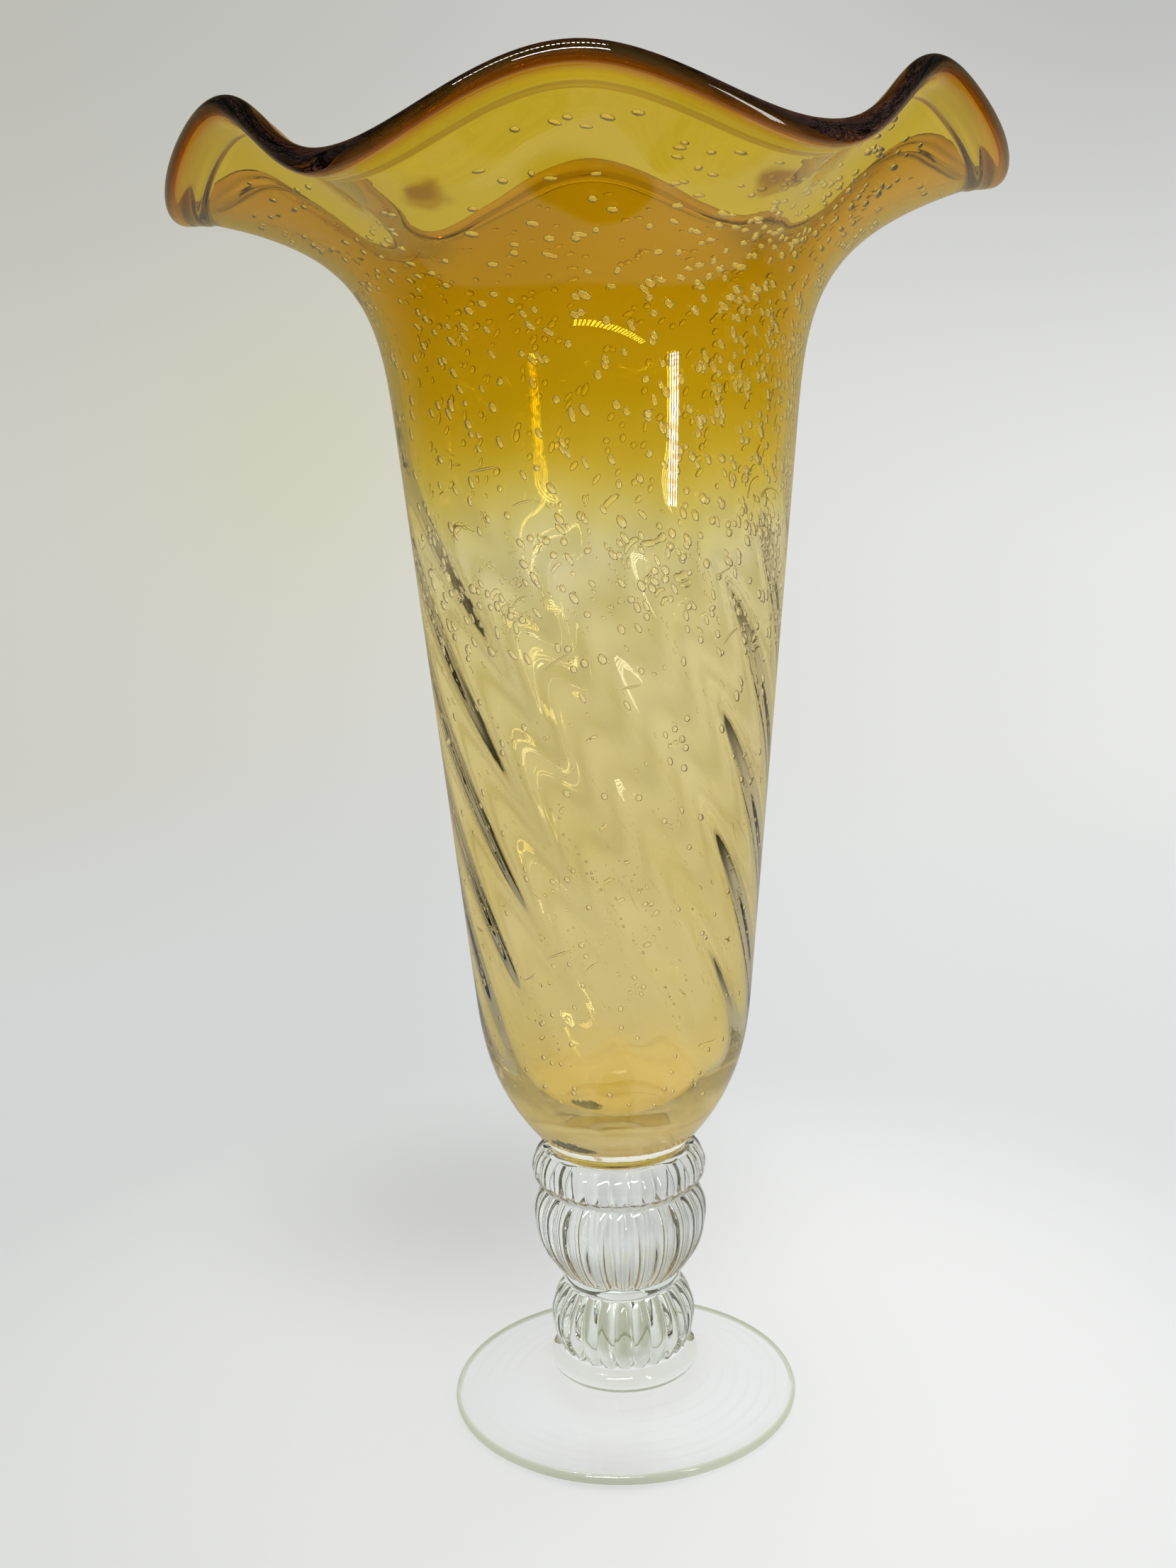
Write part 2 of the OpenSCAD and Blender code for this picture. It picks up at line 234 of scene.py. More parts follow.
# The air bubbles in its wall. Places go up the wall: 0 is its base, 1 its neck and 2 the lip.
# Sizes are halves: along the bubble, across it and through the wall. Leans are from upright.
seeds = {
    # how many, and from which place to which
    "zones": [(130, 0.10, 0.34), (150, 0.34, 0.72), (540, 0.72, 1.0), (860, 1.0, 1.97)],
    "crowdShare": 0.3, "crowdFrom": 0.84, "crowdAt": 48.0, "crowdSpread": 20.0,   # a crowd at the right
    "stretchFrom": 0.35, "stretchOver": 0.5,             # places over which they grow long
    "long": 0.91, "longer": 2.0, "longMix": (1.6, 2.6), "longNoise": 0.25,
    "wide": (0.72, 1.3), "wideShare": (0.85, 0.3), "flat": 0.24,
    "lean": 27.0, "flareLean": 55.0, "flareFrom": 1.1, "flareOver": 0.6, "leanNoise": 9.0,
    "depth": (-0.9, 0.7), "sides": 8, "rings": 3,
    # painted light: the bubbles' skins glow by height, an emission that stands in for the light that the
    # amber round them scatters into them
    "glow": [(250.0, (0.06, 0.046, 0.019)), (345.0, (0.063, 0.049, 0.024)),
             (400.0, (0.06, 0.051, 0.075)), (470.0, (0.06, 0.051, 0.075))],
}
strings = {                                              # rows of small ones along the ribs' twist
    "rows": 12, "each": 14, "from": (0.12, 0.5), "gap": (0.006, 0.03), "sway": 0.9,
    "size": (0.26, 0.5), "long": (1.0, 1.6), "leanNoise": 10.0, "depth": (-0.8, 0.8),
}
threads = {                                              # long bent ones
    "count": 30, "from": (0.28, 1.0), "long": (2.2, 6.5), "wide": (0.32, 0.5), "thin": 0.3,
    "lean": -68.0, "leanNoise": 14.0, "bend": 0.5, "depth": (-0.5, 0.2), "sides": 6, "rings": 11,
}


# A closed ellipsoid of unit size: rings of sines and cosines between two poles, its faces turned
# inwards, because the space inside it is air and the glass is round it.
def unitBubble(sides, rings):
    around = np.arange(sides) * 2.0 * np.pi / sides
    along = np.pi * np.arange(1, rings + 1) / (rings + 1)
    ring = np.stack([np.cos(along)[:, None] + 0 * around, np.sin(along)[:, None] * np.cos(around),
                     np.sin(along)[:, None] * np.sin(around)], axis=-1).reshape(-1, 3)
    points = np.concatenate([ring, [[1.0, 0.0, 0.0], [-1.0, 0.0, 0.0]]])
    quads = closedQuads(rings, sides)[:, ::-1]
    poles = np.concatenate([fanFaces(len(ring), 0, sides, True),
                            fanFaces(len(ring) + 1, (rings - 1) * sides, sides, False)])[:, ::-1]
    return points, quads, poles


# Many bubbles at once: centre plus each unit point times the three half sizes along the wall,
# across it and through it, bent sideways by the square of its place along less two fifths.
def bubbleSkins(centre, along, across, through, halfSizes, bend, sides, rings):
    unit, quads, poles = unitBubble(sides, rings)
    sideways = unit[None, :, 1] * halfSizes[:, None, 1] + bend[:, None] * (unit[None, :, 0] ** 2 - 0.4)
    points = (centre[:, None] + along[:, None] * (unit[None, :, 0] * halfSizes[:, None, 0])[..., None]
              + across[:, None] * sideways[..., None]
              + through[:, None] * (unit[None, :, 2] * halfSizes[:, None, 2])[..., None])
    step = (np.arange(len(centre)) * len(unit))[:, None, None]
    quads, poles = quads[None] + step, poles[None] + step
    return points.reshape(-1, 3), quads.reshape(-1, 4), poles.reshape(-1, 3)


# The point at an angle, a place up the wall and a depth inwards from its outer face.
def wallPoint(angle, place, depth):
    height = bowl["baseZ"] + np.clip(place, 0.0, 1.0) * bowl["bodyH"]
    body = ringPoints(bodyRadius(height, bowl["baseZ"], bowl["baseR"], 0.0) - depth, angle, height)
    flare = flarePoint(angle, np.clip(place - 1.0, 0.0, 1.0) * lipShare(angle), depth)
    return np.where((place < 1.0)[..., None], body, flare)


# Bubbles at places of the wall, each leaning from the upward way by its own angle: the wall's
# two ways there, upward and around, turned by a cosine and a sine.
def bubblesAt(angle, place, depth, lean, halfSizes, bend, sides, rings):
    step = 0.002
    centre = wallPoint(angle, place, depth)
    upward = wallPoint(angle, place + step, depth) - wallPoint(angle, place - step, depth)
    upward = upward / np.linalg.norm(upward, axis=-1, keepdims=True)
    around = ringPoints(1.0, angle + 90.0, 0.0)
    through = np.cross(around, upward)
    through = through / np.linalg.norm(through, axis=-1, keepdims=True)
    around = np.cross(upward, through)
    turn = np.radians(lean)[:, None]
    along = upward * np.cos(turn) - around * np.sin(turn)
    across = around * np.cos(turn) + upward * np.sin(turn)
    return bubbleSkins(centre, along, across, through, halfSizes, bend, sides, rings)


# The seeds of each zone, the rows along the twist and the long bent threads, as points and faces.
def bowlBubbles():
    draw, normal = randomNumbers.uniform, randomNumbers.normal
    middle = bowl["wall"] / 2
    place = np.concatenate([draw(low, high, number) for number, low, high in seeds["zones"]])
    count = len(place)
    angle = draw(-180.0, 180.0, count)
    crowd = (randomNumbers.random(count) < seeds["crowdShare"]) & (place > seeds["crowdFrom"])
    angle = np.where(crowd, normal(seeds["crowdAt"], seeds["crowdSpread"], count), angle)
    stretch = smoothStep((place - seeds["stretchFrom"]) / seeds["stretchOver"])
    longHalf = seeds["long"] + seeds["longer"] * stretch * randomNumbers.beta(*seeds["longMix"], count)
    longHalf = longHalf + seeds["longNoise"] * randomNumbers.random(count)
    least, more = seeds["wideShare"]
    wideHalf = draw(*seeds["wide"], count) * (least + more * stretch)
    flared = smoothStep((place - seeds["flareFrom"]) / seeds["flareOver"])
    lean = seeds["lean"] + seeds["flareLean"] * flared + normal(0.0, seeds["leanNoise"], count)
    depth = middle + draw(*seeds["depth"], count)
    halfSizes = np.stack([longHalf, wideHalf, wideHalf * seeds["flat"]], axis=-1)
    grain = seeds["sides"], seeds["rings"]
    groups = [bubblesAt(angle, place, depth, lean, halfSizes, 0.0 * lean, *grain)]

    shape = strings["rows"], strings["each"]
    count = shape[0] * shape[1]
    start = draw(*strings["from"], shape[0])[:, None]
    gaps = np.cumsum(draw(*strings["gap"], shape), axis=1)
    place = (start + gaps).ravel()
    angle = draw(-180.0, 180.0, shape[0])[:, None] - bowl["ribTurn"] * gaps
    angle = (angle + normal(0.0, strings["sway"], shape)).ravel()
    small = draw(*strings["size"], count)
    depth = middle + draw(*strings["depth"], count)
    lean = seeds["lean"] + normal(0.0, strings["leanNoise"], count)
    halfSizes = np.stack([small * draw(*strings["long"], count), small, small], axis=-1)
    groups.append(bubblesAt(angle, place, depth, lean, halfSizes, 0.0 * lean, *grain))

    count = threads["count"]
    place = draw(*threads["from"], count)
    angle = draw(-180.0, 180.0, count)
    halfSizes = [draw(*threads["long"], count), draw(*threads["wide"], count),
                 np.full(count, threads["thin"])]
    depth = middle + draw(*threads["depth"], count)
    lean = normal(threads["lean"], threads["leanNoise"], count)
    bend = normal(0.0, threads["bend"], count)
    groups.append(bubblesAt(angle, place, depth, lean, np.stack(halfSizes, axis=-1), bend,
                            threads["sides"], threads["rings"]))
    return groups


# The lip's skin: up its outside at half its thickness, round the bead and down its inside, as
# shares of its width along the wall and places through the wall.
def lipRows():
    angle = roundAngles(lip["sides"])
    wallHalf, bandHalf, beadHalf = bowl["wall"] / 2, lip["bandHalf"], lip["bead"] / 2
    side = np.linspace(0.0, 1.0, lip["bandSteps"])
    half = (wallHalf + (bandHalf - wallHalf) * smoothStep((side - lip["seamShare"]) / lip["easeShare"])
            + (beadHalf - bandHalf) * smoothStep((side - lip["beadFrom"]) / (1.0 - lip["beadFrom"])))
    arc = np.radians(np.linspace(90.0, -90.0, lip["beadSteps"] + 1)[1:-1])
    share = np.concatenate([side, 1.0 + beadHalf * np.cos(arc) / lip["width"], side[::-1]])
    through = np.concatenate([-half, -beadHalf * np.sin(arc), half[::-1]])
    start = lipShare(angle)
    along = start + (1.0 - start) * share[:, None]
    return flarePoint(angle, along, wallHalf + through[:, None]), share


foot = {
    "r": 66.0, "edge": 4.3, "hub": 13.0, "curve": 2.6, "seatR": 24.05, "sides": 256,
    "below": [2.0, 20.0, 40.0, 55.0], "edgeSteps": 17, "topSteps": 64,       # its rings of points
    # the tooling rings in its top
    "rippleFrom": 34.0, "rippleStep": 4.6, "rippleHeight": 0.05, "rippleFade": (8.0, 4.0),
}
footRing = {"z": 13.0, "r": 28.3, "h": 8.5, "sides": 192, "steps": 15}
lowerKnop = {"z": 21.5, "h": 26.5, "r": 27.5, "baseR": 23.6, "topR": 21.8, "belly": 0.48,
             "seatR": 22.0, "crownR": 19.8, "scallop": 0.13, "depth": 1.4, "rows": 26}
waist = {"z": 48.0, "r": 22.6, "h": 5.5, "sides": 192, "steps": 15}
upperKnop = {"z": 53.5, "h": 34.0, "r": 32.9, "baseR": 22.8, "topR": 28.5, "belly": 0.68,
             "seatR": 19.8, "crownR": 26.9, "scallop": 0.05, "depth": 1.4, "rows": 30}
collar = {"z": 87.5, "h": 15.5, "r": 33.0, "baseR": 28.5, "topR": 28.6, "belly": 0.5,
          "seatR": 26.9, "crownR": 24.9, "scallop": 0.0, "depth": 0.7, "rows": 20}
knopRibs = {"count": 24, "perRib": 14, "scallopLeast": 0.35, "scallopCut": 0.9}
join = {"z": 103.0, "h": 3.5, "r": 25.0, "topR": 27.2, "seatR": 24.9, "crownR": 27.1,
        "sides": 192, "rows": 5}


# Rows of points between a flat seat below and a flat crown above, each a ring of its own.
def seatedRows(piece, radius, angle, t):
    base = ringPoints(piece["seatR"], angle, piece["z"])
    crown = ringPoints(piece["crownR"], angle, piece["z"] + piece["h"])
    return np.concatenate([base, ringPoints(radius, angle, piece["z"] + piece["h"] * t), crown])


# A knop's radius at a share of its height: two arcs of an ellipse that meet at the belly.
def knopRadius(t, knop):
    belly = knop["belly"]
    u = np.where(t < belly, (belly - t) / belly, (t - belly) / (1.0 - belly))
    end = np.where(t < belly, knop["baseR"], knop["topR"])
    return np.sqrt(knop["r"] ** 2 - (knop["r"] ** 2 - end ** 2) * u * u)


# A ribbed knop: its radius less a groove between ribs, whose depth is one less the size of the
# half-turn cosine; near the base each rib ends in a rounded scallop.
def knopRows(knop):
    angle = roundAngles(knopRibs["count"] * knopRibs["perRib"])
    t = (0.5 - 0.5 * np.cos(np.linspace(0.0, np.pi, knop["rows"])))[:, None]
    radius = knopRadius(t, knop)
    lobe = 1.0 - np.abs(np.cos(np.radians(knopRibs["count"] * angle / 2.0)))
    radius = radius - knop["depth"] * radius / knop["r"] * lobe
    if knop["scallop"]:
        reach = knop["scallop"] * (knopRibs["scallopLeast"] + lobe) + 0.001
        radius = radius - (1.0 - smoothStep(t / reach)) * knopRibs["scallopCut"] * lobe
    return seatedRows(knop, radius, angle, t)


# A plain ring with a half-round rim, between two flat seats.
def ringRows(ring):
    angle = roundAngles(ring["sides"])
    arc = np.radians(np.linspace(-90.0, 90.0, ring["steps"]))[:, None]
    half = ring["h"] / 2
    radius = ring["r"] - half + half * np.cos(arc)
    return ringPoints(radius, angle, ring["z"] + half + half * np.sin(arc))


# The join: a straight cone between its two flat seats.
def joinRows():
    t = np.linspace(0.0, 1.0, join["rows"])[:, None]
    return seatedRows(join, join["r"] + (join["topR"] - join["r"]) * t, roundAngles(join["sides"]), t)


# The foot: flat below, round at its edge, and thickening to its hub by a power of the way in,
# with faint tooling rings in its top: a sine that fades in and out.
def footRows():
    angle = roundAngles(foot["sides"])
    half = foot["edge"] / 2
    edgeR = foot["r"] - half
    below = np.array(foot["below"])[:, None]
    arc = np.radians(np.linspace(-90.0, 90.0, foot["edgeSteps"]))[:, None]
    way = np.linspace(1.0, 0.0, foot["topSteps"])[1:, None]
    topR = foot["seatR"] + (edgeR - foot["seatR"]) * way
    topZ = foot["edge"] + (foot["hub"] - foot["edge"]) * (1.0 - way) ** foot["curve"]
    fadeIn, fadeOut = foot["rippleFade"]
    fade = smoothStep((topR - foot["rippleFrom"]) / fadeIn)
    ripple = 1.0 + np.sin(2.0 * np.pi * topR / foot["rippleStep"]) * fade
    topZ = topZ - foot["rippleHeight"] * ripple * fade * smoothStep((edgeR - topR) / fadeOut)
    return np.concatenate([
        ringPoints(below, angle, 0.0 * below),
        ringPoints(edgeR + half * np.cos(arc), angle, half + half * np.sin(arc)),
        ringPoints(topR, angle, topZ),
    ])


print("shapes ready")


# The node tree of a material or a world, emptied.
def newTree(owner):
    owner.use_nodes = True
    owner.node_tree.nodes.clear()
    return owner.node_tree


# A new material and its empty tree.
def newMaterial(name):
    material = bpy.data.materials.new(name)
    return material, newTree(material)


# Sets a node's inlets to plain values.
def setInputs(node, **values):
    for name, value in values.items():
        node.inputs[name].default_value = value


# Links a node's outlet to another node's inlet, both by name.
def link(tree, source, output, target, inlet):
    tree.links.new(source.outputs[output], target.inputs[inlet])


# Sums and comparisons of one or two sources, each a node's output or a number.
def mathNode(tree, operation, *sources):
    node = tree.nodes.new("ShaderNodeMath")
    node.operation = operation
    for number, source in enumerate(sources):
        if isinstance(source, (int, float)):
            node.inputs[number].default_value = source
        else:
            tree.links.new(source, node.inputs[number])
    return node.outputs[0]


# The product of two or more sources.
def timesNode(tree, product, *others):
    for other in others:
        product = mathNode(tree, "MULTIPLY", product, other)
    return product


# One less a source.
def restNode(tree, source):
    return mathNode(tree, "SUBTRACT", 1.0, source)


# A smooth change of a value from one span to another.
def rangeNode(tree, source, fromLow, fromHigh, toLow, toHigh, kind="SMOOTHSTEP"):
    node = tree.nodes.new("ShaderNodeMapRange")
    node.interpolation_type = kind
    setInputs(node, **{"From Min": fromLow, "From Max": fromHigh, "To Min": toLow, "To Max": toHigh})
    tree.links.new(source, node.inputs["Value"])
    return node.outputs["Result"]


# A value that is one where a share is nothing and another number where it is one.
def shareNode(tree, share, number):
    return rangeNode(tree, share, 0.0, 1.0, 1.0, number, "LINEAR")


# The x, y and z of a kind of coordinates.
def coordinateAxes(tree, output):
    coordinates = tree.nodes.new("ShaderNodeTexCoord")
    split = tree.nodes.new("ShaderNodeSeparateXYZ")
    link(tree, coordinates, output, split, "Vector")
    return split.outputs["X"], split.outputs["Y"], split.outputs["Z"]


# The distance of two values from a fixed pair of numbers: the root of the sum of squares.
def distanceNode(tree, first, second, middle):
    squares = []
    for value, place in zip((first, second), middle):
        away = mathNode(tree, "SUBTRACT", value, place)
        squares.append(mathNode(tree, "MULTIPLY", away, away))
    return mathNode(tree, "SQRT", mathNode(tree, "ADD", *squares))


# A colour between two, each a plain colour or a node's output.
def mixNode(tree, factor, first, second, kind="MIX"):
    node = tree.nodes.new("ShaderNodeMix")
    node.data_type = "RGBA"
    node.blend_type = kind
    sockets = [socket for socket in node.inputs if socket.type == "RGBA"]
    for socket, colour in zip(sockets, (first, second)):
        if isinstance(colour, tuple):
            socket.default_value = (*colour, 1.0)
        else:
            tree.links.new(colour, socket)
    if isinstance(factor, float):
        node.inputs["Factor"].default_value = factor
    else:
        tree.links.new(factor, node.inputs["Factor"])
    return next(socket for socket in node.outputs if socket.type == "RGBA")


# A colour times a tint, as far as a share says.
def tintNode(tree, share, colour, tint):
    return mixNode(tree, share, colour, mixNode(tree, 1.0, colour, tint, "MULTIPLY"))


# A colour by height in mm: a ramp over a value in metres.
def heightColour(tree, height, stops):
    low, high = stops[0][0], stops[-1][0]
    ramp = tree.nodes.new("ShaderNodeValToRGB")
    setRamp(ramp, [((place - low) / (high - low), colour) for place, colour in stops])
    tree.links.new(rangeNode(tree, height, low * mm, high * mm, 0.0, 1.0, "LINEAR"), ramp.inputs["Fac"])
    return ramp.outputs["Color"]


# Sets a colour ramp's stops from (position, colour) pairs.
def setRamp(node, stops):
    elements = node.color_ramp.elements
    for number, (position, colour) in enumerate(stops):
        element = elements[number] if number < 2 else elements.new(position)
        element.position = position
        element.color = (*colour, 1.0)


# Noise given as its scale, detail, size and roughness: smooth noise less its middle, times the size.
def noiseNode(tree, vector, scale, detail, size, roughness=0.5):
    noise = tree.nodes.new("ShaderNodeTexNoise")
    setInputs(noise, Scale=scale, Detail=detail, Roughness=roughness)
    tree.links.new(vector, noise.inputs["Vector"])
    return timesNode(tree, mathNode(tree, "SUBTRACT", noise.outputs["Fac"], 0.5), size)


# A value plus such noise.
def unevenNode(tree, value, vector, noise):
    return mathNode(tree, "ADD", value, noiseNode(tree, vector, *noise))


# The distance from a spot in mm.
def spotDistance(tree, vector, middle):
    away = tree.nodes.new("ShaderNodeVectorMath")
    away.operation = "DISTANCE"
    tree.links.new(vector, away.inputs[0])
    away.inputs[1].default_value = [value * mm for value in middle]
    return away.outputs["Value"]


# Two shaders, the second laid over the first as far as a share says.
def layShader(tree, share, first, second):
    blend = tree.nodes.new("ShaderNodeMixShader")
    for inlet, source in enumerate((share, first.outputs["BSDF"], second.outputs["BSDF"])):
        tree.links.new(source, blend.inputs[inlet])
    return blend.outputs[0]


# Ends a tree in its output.
def showShader(tree, surface, kind="ShaderNodeOutputMaterial"):
    tree.links.new(surface, tree.nodes.new(kind).inputs["Surface"])


# Slow waves left by hand work: smooth noise stretched along the axis, as a height in metres.
def handWavesGroup():
    group = bpy.data.node_groups.new("handWaves", "ShaderNodeTree")
    group.interface.new_socket("Vector", in_out="INPUT", socket_type="NodeSocketVector")
    for name, value in (("Scale", 40.0), ("Stretch", 0.5), ("Height", 0.00005)):
        socket = group.interface.new_socket(name, in_out="INPUT", socket_type="NodeSocketFloat")
        socket.default_value = value
    group.interface.new_socket("Height", in_out="OUTPUT", socket_type="NodeSocketFloat")
    start, end = group.nodes.new("NodeGroupInput"), group.nodes.new("NodeGroupOutput")
    combine = group.nodes.new("ShaderNodeCombineXYZ")
    setInputs(combine, X=1.0, Y=1.0)
    link(group, start, "Stretch", combine, "Z")
    stretch = group.nodes.new("ShaderNodeVectorMath")
    stretch.operation = "MULTIPLY"
    link(group, start, "Vector", stretch, 0)
    link(group, combine, 0, stretch, 1)
    noise = group.nodes.new("ShaderNodeTexNoise")
    setInputs(noise, Detail=1.0, Roughness=0.4)
    link(group, stretch, 0, noise, "Vector")
    link(group, start, "Scale", noise, "Scale")
    height = timesNode(group, noise.outputs["Fac"], start.outputs["Height"])
    group.links.new(height, end.inputs["Height"])
    return group


handWaves = handWavesGroup()


# A plain glass shader with the hand waves, given as scale, stretch and height, as its bump; and
# the Object coordinates.
def glassShader(tree, waves):
    coordinates = tree.nodes.new("ShaderNodeTexCoord")
    group = tree.nodes.new("ShaderNodeGroup")
    group.node_tree = handWaves
    scale, stretch, height = waves
    setInputs(group, Scale=scale, Stretch=stretch, Height=height)
    link(tree, coordinates, "Object", group, "Vector")
    bump = tree.nodes.new("ShaderNodeBump")
    setInputs(bump, Strength=1.0, Distance=1.0)
    link(tree, group, "Height", bump, "Height")
    shader = tree.nodes.new("ShaderNodeBsdfPrincipled")
    setInputs(shader, IOR=1.5, Metallic=0.0, Roughness=0.0, **{"Transmission Weight": 1.0})
    link(tree, bump, "Normal", shader, "Normal")
    return shader, coordinates.outputs["Object"]


amber = {
    "waves": (34.0, 0.45, 0.0002),
    # colour of one wall by height; light takes the root of it at each face
    "byHeight": [
        (106.5, (0.86, 0.71, 0.34)), (114.0, (0.91, 0.79, 0.44)), (118.5, (0.93, 0.81, 0.47)),
        (122.5, (0.93, 0.81, 0.47)), (123.8, (0.70, 0.51, 0.25)), (125.2, (0.93, 0.81, 0.47)),
        (150.0, (0.955, 0.85, 0.52)), (166.0, (0.951, 0.842, 0.50)), (190.0, (0.965, 0.865, 0.56)),
        (250.0, (0.973, 0.885, 0.60)), (285.0, (0.973, 0.89, 0.605)), (305.0, (0.975, 0.90, 0.62)),
        (328.0, (0.985, 0.93, 0.69)), (344.0, (0.968, 0.868, 0.45)), (361.0, (0.925, 0.76, 0.20)),
        (380.0, (0.865, 0.665, 0.052)), (420.0, (0.86, 0.61, 0.042)), (470.0, (0.875, 0.61, 0.035))],
    "heightNoise": (22.0, 2.0, 0.03),
    "patch": (0.968, 0.96, 0.89), "patchNoise": (15.0, 0.0, 1.0), "patchFrom": -0.02, "patchTo": 0.06,
    # painted shade: darker pools painted into the glass under the front dips of the lip, each a place
    # and a radius
    "pools": [((-47.6, -96.0, 438.0), 9.0), ((54.5, -95.0, 438.5), 9.0)],
    "poolColour": (0.56, 0.385, 0.06), "poolNoise": (90.0, 3.0, 0.010), "poolFull": 0.6,
    # the ragged white band above the join, and the noise that thins it here and there
    "bandFrom": 106.9, "bandTo": 110.0, "bandSoft": 0.2, "bandColour": (0.93, 0.92, 0.84),
    "bandNoise": (420.0, 4.0, 0.0022, 0.7), "bandShare": (0.1, 0.95),
    "thinNoise": (70.0, 2.0, 1.0), "thinFrom": -0.12, "thinTo": -0.02,
    # the stain on the inside bottom
    "stainAt": (-12.6, -10.3, 114.0), "stainR": 6.4, "stainIn": 1.0, "stainOut": 0.5,
    "stainShare": 0.9, "stainFull": 0.5,                 # its cover, and that with its full colour
    "stainColour": (0.11, 0.12, 0.07), "stainNoise": (300.0, 4.0, 0.008, 0.7),
    # the golden film of residue round it
    "filmFrom": 121.0, "filmTo": 140.0, "filmColour": (0.94, 0.82, 0.40),
    "filmNoise": (90.0, 3.0, 0.012), "filmShare": 0.62,
    # painted light: the residue glows by this emission, standing in for the light that comes through it
    # from behind
    "through": 0.2,                                      # the light that comes through from behind
    "seatColour": (0.86, 0.64, 0.15), "seatShare": 0.6,  # the golden film at the seat
    "floorGlassTo": 146.0,                               # the film's material reaches up to here
}


# The bowl's glass: its colour of a wall goes by height, a little uneven, with painted shade in pools
# under the front dips of the lip. Over it lies residue: a ragged white band above the join, or a stain
# and a thin golden film on the inside bottom; the residue glows a little, painted light for the light
# that comes through it.
def bowlMaterial(name, film):
    material, tree = newMaterial(name)
    glass, spot = glassShader(tree, amber["waves"])
    z = coordinateAxes(tree, "Object")[2]
    colour = heightColour(tree, unevenNode(tree, z, spot, amber["heightNoise"]), amber["byHeight"])
    patch = noiseNode(tree, spot, *amber["patchNoise"])
    patch = rangeNode(tree, patch, amber["patchFrom"], amber["patchTo"], 0.0, 1.0)
    colour = tintNode(tree, patch, colour, amber["patch"])
    # painted shade: each pool darkens the glass under a front dip of the lip
    for middle, radius in amber["pools"]:
        away = unevenNode(tree, spotDistance(tree, spot, middle), spot, amber["poolNoise"])
        pool = rangeNode(tree, away, radius * amber["poolFull"] * mm, radius * mm, 1.0, 0.0)
        colour = tintNode(tree, pool, colour, amber["poolColour"])
    tree.links.new(colour, glass.inputs["Base Color"])

    if film:
        edge = unevenNode(tree, spotDistance(tree, spot, amber["stainAt"]), spot, amber["stainNoise"])
        inner, outer = amber["stainR"] - amber["stainIn"], amber["stainR"] + amber["stainOut"]
        stain = rangeNode(tree, edge, inner * mm, outer * mm, amber["stainShare"], 0.0)
        top = unevenNode(tree, z, spot, amber["filmNoise"])
        thin = rangeNode(tree, top, amber["filmFrom"] * mm, amber["filmTo"] * mm, film, 0.0)
        share = mathNode(tree, "MAXIMUM", thin, stain)
        stained = rangeNode(tree, stain, 0.0, amber["stainFull"], 0.0, 1.0)
        residue = mixNode(tree, stained, amber["filmColour"], amber["stainColour"])
    else:
        ragged = unevenNode(tree, z, spot, amber["bandNoise"])
        low, high, soft = amber["bandFrom"] * mm, amber["bandTo"] * mm, amber["bandSoft"] * mm
        thick = noiseNode(tree, spot, *amber["thinNoise"])
        thick = rangeNode(tree, thick, amber["thinFrom"], amber["thinTo"], *amber["bandShare"])
        share = timesNode(tree, rangeNode(tree, ragged, low, low + soft, 0.0, 1.0),
                          rangeNode(tree, ragged, high, high + soft, 1.0, 0.0), thick)
        residue = amber["bandColour"]
    # painted light: the residue's emission makes it glow, standing in for the light that comes through
    # it from behind
    dull = tree.nodes.new("ShaderNodeBsdfPrincipled")
    setInputs(dull, Roughness=0.8, **{"Specular IOR Level": 0.2, "Emission Strength": amber["through"]})
    for inlet in ("Base Color", "Emission Color"):
        if film:
            tree.links.new(residue, dull.inputs[inlet])
        else:
            dull.inputs[inlet].default_value = (*residue, 1.0)
    showShader(tree, layShader(tree, share, glass, dull))
    return material


# Clear glass of one colour, or of a colour by height in mm, and a painted glow by height if given: an
# emission, though the glass is no lamp.
def clearMaterial(name, colour, waves, stops=None, glow=None):
    material, tree = newMaterial(name)
    shader = glassShader(tree, waves)[0]
    shader.inputs["Base Color"].default_value = (*colour, 1.0)
    z = coordinateAxes(tree, "Object")[2]
    if stops:
        tree.links.new(heightColour(tree, z, stops), shader.inputs["Base Color"])
    # painted light: the glass glows by its emission
    if glow:
        shader.inputs["Emission Strength"].default_value = 1.0
        tree.links.new(heightColour(tree, z, glow), shader.inputs["Emission Color"])
    showShader(tree, shader.outputs["BSDF"])
    return material


footColours = {
    "waves": (30.0, 1.0, 0.00002),
    "byRadius": [(0.0, (0.99, 0.996, 0.985)), (62.5, (0.985, 0.99, 0.975)), (64.3, (0.90, 0.925, 0.84)),
                 (65.1, (0.55, 0.59, 0.40)), (66.0, (0.38, 0.43, 0.26))],
    # faint tooling rings, uneven and here and there only
    "ringStep": 5.2, "ring": (0.955, 0.965, 0.95), "ringFrom": 0.55, "ringNoise": (14.0, 1.0, 0.006),
    "hereNoise": (22.0, 1.0, 1.0), "hereFrom": -0.05, "hereTo": 0.12,
}


# The foot's glass: clear, with its green showing where light runs along its edge.
def footMaterial():
    material, tree = newMaterial("clearFootGlass")
    shader, spot = glassShader(tree, footColours["waves"])
    x, y = coordinateAxes(tree, "Object")[:2]
    away = distanceNode(tree, x, y, (0.0, 0.0))
    colour = heightColour(tree, away, footColours["byRadius"])
    uneven = unevenNode(tree, away, spot, footColours["ringNoise"])
    turn = 2.0 * math.pi / (footColours["ringStep"] * mm)
    wave = mathNode(tree, "SINE", timesNode(tree, uneven, turn))
    here = noiseNode(tree, spot, *footColours["hereNoise"])
    ring = timesNode(tree, rangeNode(tree, wave, footColours["ringFrom"], 1.0, 0.0, 1.0),
                     rangeNode(tree, here, footColours["hereFrom"], footColours["hereTo"], 0.0, 1.0))
    tree.links.new(tintNode(tree, ring, colour, footColours["ring"]), shader.inputs["Base Color"])
    showShader(tree, shader.outputs["BSDF"])
    return material


